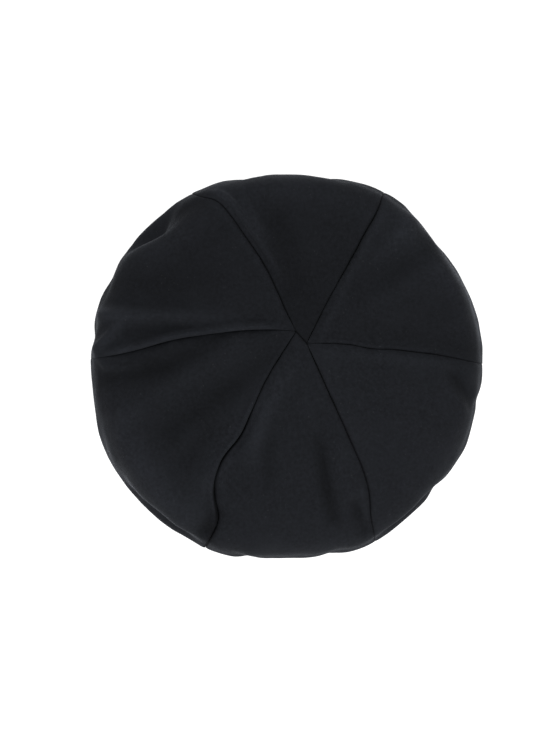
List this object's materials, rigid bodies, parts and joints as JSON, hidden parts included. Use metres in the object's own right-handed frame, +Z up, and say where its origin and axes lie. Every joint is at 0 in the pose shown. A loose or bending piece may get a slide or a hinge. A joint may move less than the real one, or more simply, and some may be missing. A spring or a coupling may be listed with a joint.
{
  "type": "slouch beanie",
  "caption": "Round slouch beanie of dark wool cloth, its loose crown of sewn gores lying wide over a plain headband.",
  "frame": {"origin": "on the surface that the hat rests on, under the middle of its crown", "axes": "+Z up through the crown, -Y to the front of the hat, +X to its right-hand side seen from above"},
  "size_m": [0.2807, 0.275, 0.064],
  "materials": {
    "wool_cloth": "soft napped black wool cloth, matt with a faint sheen at its edges",
    "band_cloth": "black wool cloth folded double, matt"
  },
  "bodies": {
    "root": {"gore_back": "wool_cloth", "gore_back_left": "wool_cloth", "gore_back_right": "wool_cloth", "gore_front": "wool_cloth", "gore_front_left": "wool_cloth", "gore_front_right": "wool_cloth", "headband": "band_cloth"}
  },
  "joints": []
}
